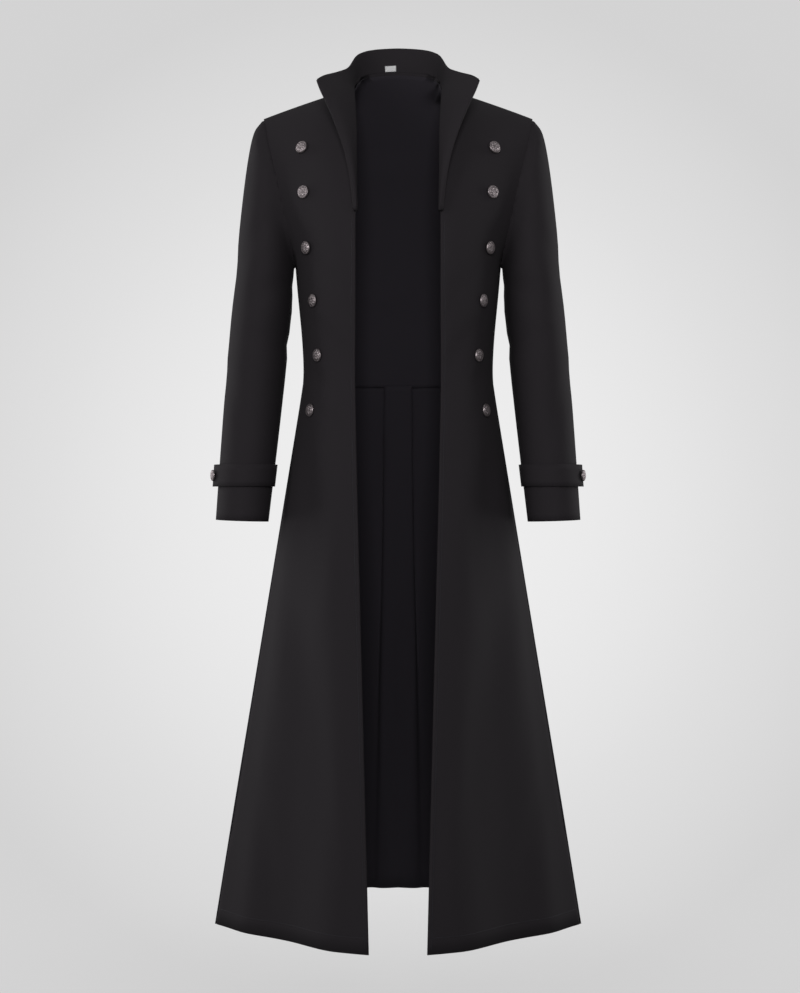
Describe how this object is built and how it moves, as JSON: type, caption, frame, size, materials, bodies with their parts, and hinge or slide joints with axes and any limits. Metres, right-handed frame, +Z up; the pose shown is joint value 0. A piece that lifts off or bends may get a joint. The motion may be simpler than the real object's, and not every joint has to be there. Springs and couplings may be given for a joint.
{
  "type": "frock coat",
  "caption": "Long open-fronted coat with a high collar running into flared lapels, set-in sleeves with cuff straps, and a pleated back skirt",
  "frame": {"origin": "on the centre line, level with the seam where neck and shoulders meet, where the wearer's shoulders hold the coat", "axes": "+Z up, front facing -Y, the wearer's left along +X"},
  "size_m": [0.599, 0.4076, 1.4333],
  "materials": {
    "cloth": "smooth satin-faced black twill",
    "lining": "glossy black satin with a purple cast",
    "button_metal": "antique silver, dark in its hollows",
    "label": "plain white woven tape"
  },
  "bodies": {
    "root": {"front_left": "cloth", "front_right": "cloth", "back_bodice": "cloth", "back_skirt": "cloth", "collar": "cloth", "sleeve_left": "cloth", "sleeve_right": "cloth", "cuff_strap_left": "cloth", "cuff_strap_right": "cloth", "back_lining": "lining", "label": "label", "button_left_1": "button_metal", "button_left_2": "button_metal", "button_left_3": "button_metal", "button_left_4": "button_metal", "button_left_5": "button_metal", "button_left_6": "button_metal", "button_right_1": "button_metal", "button_right_2": "button_metal", "button_right_3": "button_metal", "button_right_4": "button_metal", "button_right_5": "button_metal", "button_right_6": "button_metal", "cuff_button_left": "button_metal", "cuff_button_right": "button_metal"}
  },
  "joints": []
}
